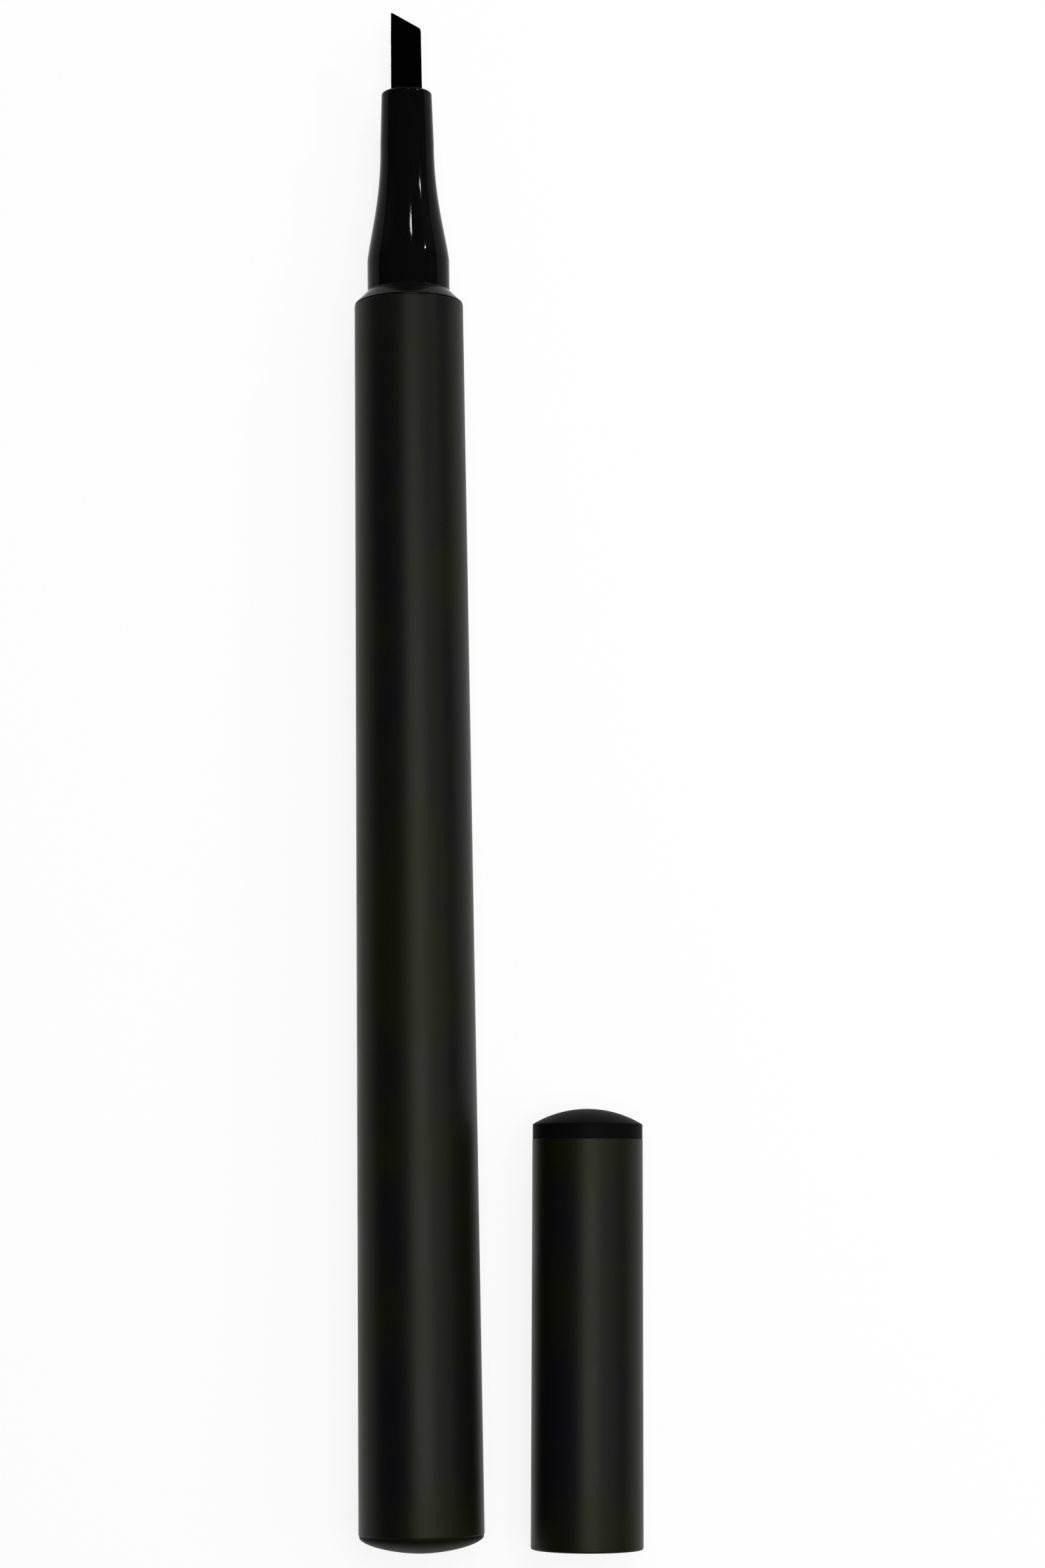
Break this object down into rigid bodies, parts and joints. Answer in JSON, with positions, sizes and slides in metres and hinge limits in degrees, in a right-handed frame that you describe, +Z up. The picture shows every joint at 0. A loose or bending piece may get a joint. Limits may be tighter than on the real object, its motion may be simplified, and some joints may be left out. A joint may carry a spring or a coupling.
{
  "type": "liquid eyeliner pen",
  "caption": "Slim tapered liquid eyeliner pen with a wide slanted felt nib and a finned ink feed, lying beside its removed cap with a sprung inner seal.",
  "frame": {"origin": "centre of the footprint of the pen and its cap, on the surface that they lie on", "axes": "+Y along the pen from its tail to its nib, +X from the pen towards the cap, +Z up from the surface"},
  "size_m": [0.023, 0.1254, 0.01],
  "materials": {
    "barrel_black": "satin black, bare of print",
    "tail_black": "satin black",
    "front_gloss_black": "polished black",
    "nib_felt": "ink-soaked black felt",
    "holder_white": "natural moulded plastic",
    "feed_clear_grey": "moulded plastic stained by ink",
    "wick_fibre": "ink-soaked bonded fibre",
    "partition_white": "natural moulded plastic",
    "ball_steel": "polished stainless steel",
    "cap_black": "satin black",
    "cap_end_gloss_black": "polished black",
    "inner_cap_white": "natural moulded plastic",
    "spring_steel": "drawn stainless wire"
  },
  "bodies": {
    "pen": {"barrel": "barrel_black", "tail_plug": "tail_black", "front_section": "front_gloss_black", "nib": "nib_felt", "nib_holder": "holder_white", "ink_feed": "feed_clear_grey", "relay_wick": "wick_fibre", "partition_plug": "partition_white"},
    "ball": {"mixing_ball": "ball_steel"},
    "cap": {"cap_shell": "cap_black", "cap_end_plug": "cap_end_gloss_black", "cap_spring": "spring_steel"},
    "inner_cap": {"inner_cap": "inner_cap_white"}
  },
  "joints": [
    {"name": "cap_slide", "type": "slide", "parent": "pen", "child": "cap", "axis": [0, 1, 0], "range_m": [0, 0.126]},
    {"name": "inner_cap_slide", "type": "slide", "parent": "cap", "child": "inner_cap", "axis": [0.0162, 0.9999, -0.0018], "range_m": [0, 0.0015], "stiffness_N_per_m": 400, "springref_m": -0.001, "deforming": ["cap_spring"]},
    {"name": "ball_slide", "type": "slide", "parent": "pen", "child": "ball", "axis": [0, 1, -0.0056], "range_m": [-0.0472, 0]}
  ]
}
